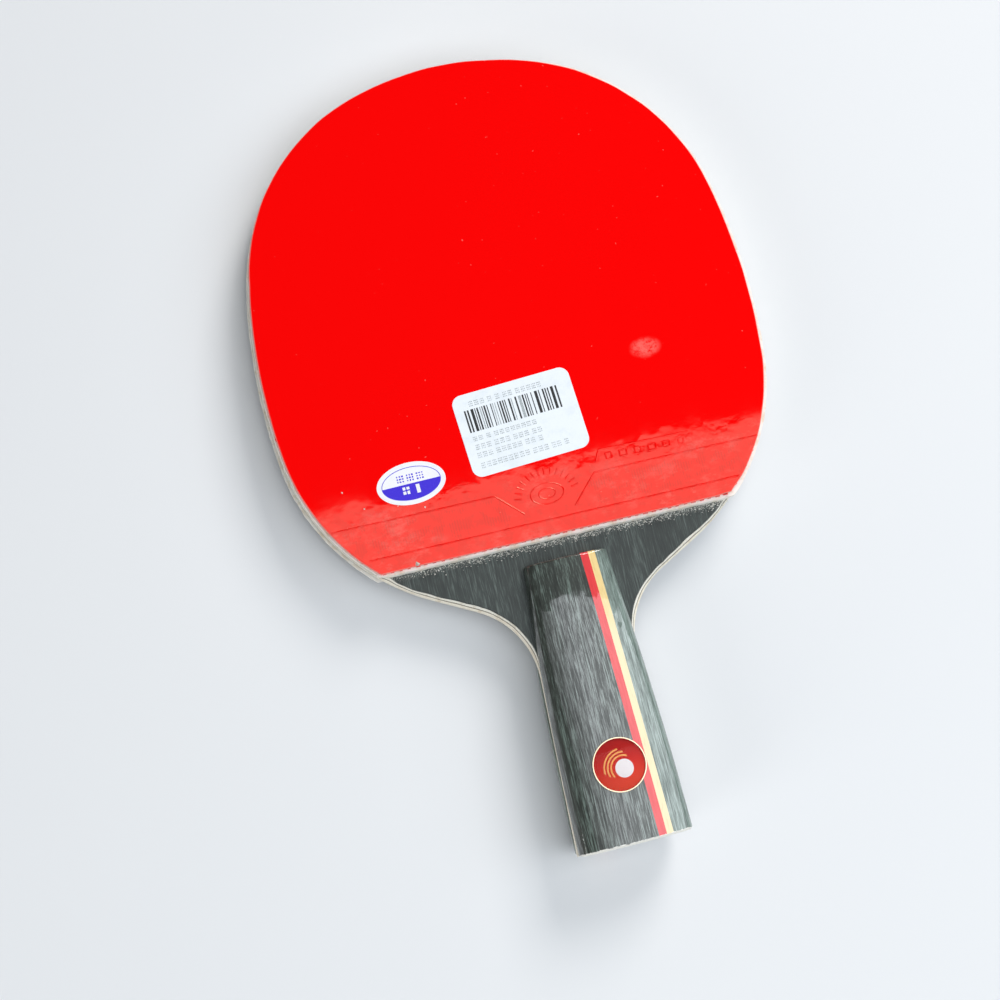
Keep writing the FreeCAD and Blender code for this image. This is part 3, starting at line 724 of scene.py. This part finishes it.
def foam_rings(seed):
    """The sponge's edge leans and waves where the knife went through it."""
    rough = 0.14 * ripple(foam_outline, 4 * MM, seed) + 0.1 * ripple(foam_outline, 1.3 * MM, seed)
    at_neck = smooth(1 - (foam_outline[:, 1] - RUBBER_EDGE) / MM)
    at_neck = at_neck * smooth((NECK_HALF - np.abs(foam_outline[:, 0])) / NECK_EASE)
    lean = at_neck * LEAN
    on_right = smooth(foam_outline[:, 0] / RIGHT_EASE)
    proud = PROUD * (on_right * (1 - at_neck) + at_neck)
    steps = []
    for share in (0.0, 0.3, 0.65, 1.0):
        height = VENEER_TOP + (SPONGE_TOP - VENEER_TOP) * share
        bulge = 0.12 * math.sin(math.pi * share)
        steps.append((height, ((0.16 + rough) * (0.6 + 0.4 * share) - bulge - proud
                               - lean * (1 - share)) * MM))
    return steps


# The moulded emblem: ticks fanned over two ovals, by count, and degrees for the first and between.
TICKS, FIRST_TICK, TICK_STEP = 14, 14, 12
MOULDED_SQUARES = 6


def relief(seed):
    """Moulded lines, an emblem and a row of squares on the sheet beside the handle."""
    marks = Shapes()
    base, width, height = FACE_TOP, 0.55 * MM, 0.13 * MM

    def line(*corners):
        path = []
        for start, end in zip(corners, corners[1:]):
            path += along((start[0] * MM, start[1] * MM), (end[0] * MM, end[1] * MM))
        marks.ridge(path, width, height, base)

    line((-56.5, 97.4), (57.5, 97.4))
    line((-65.5, 108.0), (-16.0, 107.8), (-8.6, 100.6))
    line((6.8, 99.8), (14.7, 108.2), (66.0, 108.1))
    line((-27.0, 113.3), (-19.2, 112.9))
    line((16.0, 111.2), (17.6, 114.6), (45.5, 114.0))
    centre = (-0.6 * MM, 103.9 * MM)
    for reach in (2.2, 4.4):
        oval = ellipse_points((centre[0], centre[1] + 1.3 * MM), reach * 1.15 * MM,
                              reach * 0.72 * MM, 36)
        marks.ridge(oval + oval[:1], 0.4 * MM, height, base)
    for step in range(TICKS):
        angle = math.radians(FIRST_TICK + step * TICK_STEP)
        inner = (centre[0] + 7.9 * MM * math.cos(angle), centre[1] + 7.0 * MM * math.sin(angle))
        outer = (centre[0] + 10.2 * MM * math.cos(angle), centre[1] + 9.1 * MM * math.sin(angle))
        marks.ridge([inner, outer], 0.55 * MM, height, base)
    rng = random.Random(seed)
    for step in range(MOULDED_SQUARES):
        place = (20.2 + 4.5 * step, 112.2 - 0.1 * step)
        wide, tall = rng.uniform(0.8, 1.2), rng.uniform(0.8, 1.0)
        line((place[0] - wide, place[1] - tall), (place[0] + wide, place[1] - tall),
             (place[0] + wide, place[1] + tall), (place[0] - wide, place[1] + tall),
             (place[0] - wide, place[1] - tall))
    return marks


def cut_pips(seed):
    """Stubs of the pips that the knife went through along the rubber's lower edge."""
    stubs = Shapes()
    rng = random.Random(seed)
    for step in range(CUT_PIPS):
        x = FIRST_CUT_PIP + PIP_PITCH * step + rng.uniform(-0.25, 0.25) * MM
        stub = bar_points((x, RUBBER_EDGE + 0.3 * MM), rng.uniform(0.7, 1.4) * MM,
                          rng.uniform(0.45, 0.7) * MM)
        stubs.prism(stub, SPONGE_TOP - JOINED, FACE_TOP - SHEET_THICKNESS + JOINED)
    return stubs


for number, (face, side) in enumerate(SIDES.items()):
    surface, slot = RUBBER_SURFACES[face]
    sheet = stacked_layer("rubber_sheet_" + face, sheet_outline, sheet_rings(3.0 + number), side)
    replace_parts(add_piece(sheet.name, sheet, surface), "rubber_topsheet_" + face)
    pips = pip_field(sheet_outline, 11 + number)
    add_piece("rubber_pips_" + face, pips.mesh("rubber_pips_" + face, side), surface)
    stubs = cut_pips(61 + number)
    add_piece("rubber_cut_pips_" + face, stubs.mesh("rubber_cut_pips_" + face, side), surface)
    moulded = relief(21 + number)
    add_piece("rubber_relief_" + face, moulded.mesh("rubber_relief_" + face, side), surface)
    layer = stacked_layer("sponge_sheet_" + face, foam_outline, foam_rings(5.0 + number), side)
    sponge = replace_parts(add_piece(layer.name, layer, foam), "rubber_sponge_" + face)

    rng = random.Random(31 + number)
    glue = Shapes()
    for _ in range(DUST_FLAKES):
        share = rng.random() ** (0.7 if side > 0 else 1.0)
        x = (DUST_LEFT + DUST_WIDE * share) * MM
        drop = min(abs(rng.gauss(0, 0.9)), DUST_FALL) * MM
        glue.crumb((x, RUBBER_EDGE - DUST_GAP * MM - drop, VENEER_TOP),
                   rng.uniform(0.07, 0.23) * MM, rng)
    for _ in range(LARGE_FLAKES):
        x = rng.uniform(-50, 50) * MM
        glue.crumb((x, RUBBER_EDGE - rng.uniform(0.3, 2.2) * MM, VENEER_TOP),
                   rng.uniform(0.25, 0.45) * MM, rng)
    glue.crumb((-43.0 * MM, RUBBER_EDGE + 0.6 * MM, FACE_TOP), 0.8 * MM, rng)
    for place in ((-44.6, 111.5), (-36.9, 109.4), (-54.4, 112.9), (-59.7, 119.0)):
        glue.crumb((place[0] * MM, place[1] * MM, FACE_TOP), 0.28 * MM, rng)
    add_piece("glue_crumbs_" + face, glue.mesh("glue_crumbs_" + face, side), crumbs)


# ---------------------------------------------------------------- handle and badge

def dress(name, material):
    """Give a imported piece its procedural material."""
    nodes[name].data.materials.clear()
    nodes[name].data.materials.append(material)


for face in SIDES:
    dress("handle_main_block_" + face, handle_wood)
    dress("handle_side_block_" + face, side_block_and_sheen)
    dress("handle_red_strip_" + face, red_strip)
    dress("handle_cream_strip_" + face, cream_strip)
    dress("oval_sticker_" + face, sticker_paper)
dress("badge_cup", gilt)
dress("badge_printed_disc", badge_red)
dress("badge_resin_dome", resin)
dress("barcode_label", label_paper)

lowest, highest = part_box("badge_printed_disc")
badge_centre = (lowest + highest) / 2
disc_top = highest.z
ball, trails = Shapes(), Shapes()
BALL_RADIUS = 2.7 * MM
ball.prism(ellipse_points((badge_centre.x + 1.2 * MM, badge_centre.y - 1.3 * MM),
                          BALL_RADIUS, BALL_RADIUS, 48), disc_top - SUNK, disc_top + INK)
# Arcs behind the ball: radius in millimetres, first angle and sweep in degrees.
ARC_STEPS = 18
for reach, first, sweep in ((3.7, 62, 150), (4.7, 80, 120), (5.7, 96, 90)):
    arc = []
    for turn in range(ARC_STEPS + 1):
        angle = math.radians(first + sweep * turn / ARC_STEPS)
        arc.append((badge_centre.x + (1.0 + reach * math.cos(angle)) * MM,
                    badge_centre.y + (-1.2 + reach * math.sin(angle)) * MM))
    trails.ridge(arc, 0.5 * MM, INK, disc_top)
add_piece("badge_ball", ball.mesh("badge_ball"), white_ink)
add_piece("badge_trails", trails.mesh("badge_trails"), orange_ink)


# ---------------------------------------------------------------- label and stickers

lowest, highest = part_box("barcode_label")
label_centre = (lowest + highest) / 2
LABEL_TURN, STICKER_TURN = math.radians(3.5), math.radians(1.0)
LABEL_WIDE, LABEL_TALL = 36.6, 25.5
# Bars across the label, in millimetres from its upper left corner.
BARS_FROM, BARS_TO, BARS_DOWN, BARS_TALL = 2.8, 31.6, 8.4, 6.9


def on_label(along_mm, down_mm):
    """Point on the label, measured from its upper left corner."""
    return turned((label_centre.x, label_centre.y), (along_mm - LABEL_WIDE / 2) * MM,
                  (LABEL_TALL / 2 - down_mm) * MM, LABEL_TURN)


rng = random.Random(41)
bars, faint = Shapes(), Shapes()
place = BARS_FROM
while place < BARS_TO:
    width = rng.choice((0.28, 0.28, 0.36, 0.5, 0.85))
    target = faint if rng.random() < 0.2 else bars
    target.prism(bar_points(on_label(place + width / 2, BARS_DOWN), width * MM, BARS_TALL * MM,
                            LABEL_TURN), LABEL_TOP - SUNK, LABEL_TOP + INK)
    place += width + rng.choice((0.34, 0.42, 0.6, 0.9))

# Rows of small blocks of dots stand for small print: (down, first, last, height) in millimetres.
for down, first, last, tall in ((3.3, 5.0, 27.0, 1.7), (13.9, 3.2, 23.2, 1.5),
                                (16.5, 3.2, 23.6, 1.7), (19.0, 3.0, 22.6, 1.7),
                                (22.2, 3.2, 30.6, 1.8)):
    place = first
    while place < last:
        for column in (0.0, 0.45, 0.9):
            for level in (-0.36, 0.0, 0.36):
                spot = on_label(place + column, down + level * tall)
                faint.prism(bar_points(spot, rng.uniform(0.2, 0.38) * MM,
                                       rng.uniform(0.2, 0.38) * MM, LABEL_TURN),
                            LABEL_TOP - SUNK, LABEL_TOP + INK)
        place += rng.choice((1.6, 1.75, 1.75, 2.4))
add_piece("label_bars", bars.mesh("label_bars"), black_ink)
add_piece("label_small_print", faint.mesh("label_small_print"), grey_ink)

# Each sticker has a printed oval: a thin ring above, and a full half below.
OVAL_MAJOR, OVAL_MINOR, OVAL_LINE = 8.95 * MM, 4.95 * MM, 0.2 * MM
OVAL_STEPS = 64
HALF_OVAL = OVAL_STEPS // 2

for number, (face, side) in enumerate(SIDES.items()):
    lowest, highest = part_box("oval_sticker_" + face)
    centre = ((lowest.x + highest.x) / 2 * side, (lowest.y + highest.y) / 2)
    top = highest.z if side > 0 else -lowest.z
    violet, marks = Shapes(), Shapes()
    ring_out = ellipse_points(centre, OVAL_MAJOR, OVAL_MINOR, OVAL_STEPS, STICKER_TURN)
    ring_in = ellipse_points(centre, OVAL_MAJOR - OVAL_LINE, OVAL_MINOR - OVAL_LINE, OVAL_STEPS,
                             STICKER_TURN)
    for i in range(HALF_OVAL):
        violet.prism([ring_out[i], ring_out[i + 1], ring_in[i + 1], ring_in[i]],
                     top - SUNK, top + INK)
    violet.prism(ring_out[HALF_OVAL:] + ring_out[:1], top - SUNK, top + INK)
    rng = random.Random(51 + number)
    for step in range(3):
        for across in (-0.8, 0.0, 0.8):
            for up in (1.0, 1.8, 2.6):
                spot = (centre[0] + (-3.0 + 3.0 * step + across) * MM, centre[1] + up * MM)
                violet.prism(bar_points(spot, rng.uniform(0.3, 0.55) * MM,
                                        rng.uniform(0.3, 0.55) * MM, STICKER_TURN),
                             top - SUNK, top + INK)
    for across, up, width, tall in ((-2.5, -1.2, 0.8, 0.9), (-1.3, -1.2, 0.9, 0.8),
                                    (-2.5, -2.5, 0.9, 0.9), (-1.3, -2.5, 0.8, 1.0),
                                    (1.7, -1.9, 1.1, 2.6)):
        marks.prism(bar_points((centre[0] + across * MM, centre[1] + up * MM),
                               width * MM, tall * MM, STICKER_TURN),
                    top + INK / 2, top + 2 * INK)
    add_piece("sticker_violet_" + face, violet.mesh("sticker_violet_" + face, side), violet_ink)
    add_piece("sticker_marks_" + face, marks.mesh("sticker_marks_" + face, side), white_ink)


# ---------------------------------------------------------------- stage, lights, camera

# The bat rests on its back handle's crown and the back rubber's far edge.
FLOOR_AT, FLOOR_RISE, FLOOR_HALF = Vector((0.0, 0.0426, -0.01116)), 0.0217, 1.1
corners = [(-FLOOR_HALF, -FLOOR_HALF), (FLOOR_HALF, -FLOOR_HALF),
           (FLOOR_HALF, FLOOR_HALF), (-FLOOR_HALF, FLOOR_HALF)]
floor_mesh = bpy.data.meshes.new("floor")
floor_mesh.from_pydata([(x, y, FLOOR_AT.z + FLOOR_RISE * (y - FLOOR_AT.y)) for x, y in corners],
                       [], [(0, 1, 2, 3)])
floor_surface = Surface("pale_floor", Roughness=0.6)
floor_surface.colour(floor_surface.mix(floor_surface.noise(6, 3), (0.78, 0.79, 0.82),
                                       (0.8, 0.81, 0.83)))
floor_mesh.materials.append(floor_surface.material)
floor = bpy.data.objects.new("floor", floor_mesh)
bpy.context.scene.collection.objects.link(floor)


def look(place, aim, up):
    """Rotation that points an object's -Z from place to aim, with its Y towards up."""
    back = (place - aim).normalized()
    right = up.cross(back).normalized()
    return Matrix((right, back.cross(right), back)).transposed().to_4x4()


def soft_light(name, low, high, height, radiance, colour):
    """Level rectangular softbox facing down, between two corners, of even radiance."""
    light = bpy.data.lights.new(name, "AREA")
    light.shape = "RECTANGLE"
    light.size, light.size_y = high[0] - low[0], high[1] - low[1]
    light.energy = radiance * math.pi * light.size * light.size_y
    light.color = colour
    lamp = bpy.data.objects.new(name, light)
    lamp.location = ((low[0] + high[0]) / 2, (low[1] + high[1]) / 2, height)
    bpy.context.scene.collection.objects.link(lamp)
    return lamp


def standing_light(name, half, place, up, radiance, colour):
    """Square softbox that faces the middle of the bat."""
    lamp = soft_light(name, (-half, -half), (half, half), 0.0, radiance, colour)
    lamp.matrix_world = Matrix.Translation(place) @ look(place, BAT_MIDDLE, up)


BAT_MIDDLE = Vector((0, 0.12, 0))

# The ceiling softbox is mirrored in the lower part of the rubber, because its edge is at
# CEILING_EDGE. It fades out towards -X in three steps: low x, high x and radiance.
CEILING_EDGE, CEILING_FAR, CEILING_HEIGHT = 0.349, -1.5, 1.5
for number, (low_x, high_x, radiance) in enumerate(((-0.2, 3.6, 2.1), (-0.36, -0.2, 1.6),
                                                    (-0.52, -0.36, 1.1), (-0.72, -0.52, 0.6))):
    soft_light("ceiling_softbox_%d" % number, (low_x, CEILING_FAR), (high_x, CEILING_EDGE),
               CEILING_HEIGHT, radiance, (0.94, 1.0, 1.04))
standing_light("side_softbox", 0.4, Vector((0.95, 1.35, 1.15)), Vector((0, 1, 0)), 11.0,
               (1.0, 0.97, 0.93))
standing_light("fill_softbox", 0.45, Vector((-1.6, -0.6, 0.6)), Vector((0, 0, 1)), 3.6,
               (1.0, 0.99, 0.96))

# A dim room: the backdrop is pale where it is seen, and gives little light.
ROOM, BACKDROP = 0.06, 0.8
world = bpy.data.worlds.new("studio")
world.use_nodes = True
backdrop = world.node_tree.nodes["Background"]
backdrop.inputs["Color"].default_value = (0.9, 0.95, 1.0, 1)
seen = world.node_tree.nodes.new("ShaderNodeLightPath")
level = world.node_tree.nodes.new("ShaderNodeMapRange")
level.inputs["To Min"].default_value, level.inputs["To Max"].default_value = ROOM, BACKDROP
world.node_tree.links.new(seen.outputs["Is Camera Ray"], level.inputs["Value"])
world.node_tree.links.new(level.outputs[0], backdrop.inputs["Strength"])
bpy.context.scene.world = world
bpy.context.scene.view_settings.view_transform = "Standard"

camera = bpy.data.cameras.new("camera")
camera.lens = CAMERA_LENS
camera.sensor_width = 36.0
eye = bpy.data.objects.new("camera", camera)
eye.matrix_world = Matrix.Translation(CAMERA_AT) @ look(CAMERA_AT, CAMERA_AIM, CAMERA_UP)
bpy.context.scene.collection.objects.link(eye)
bpy.context.scene.camera = eye
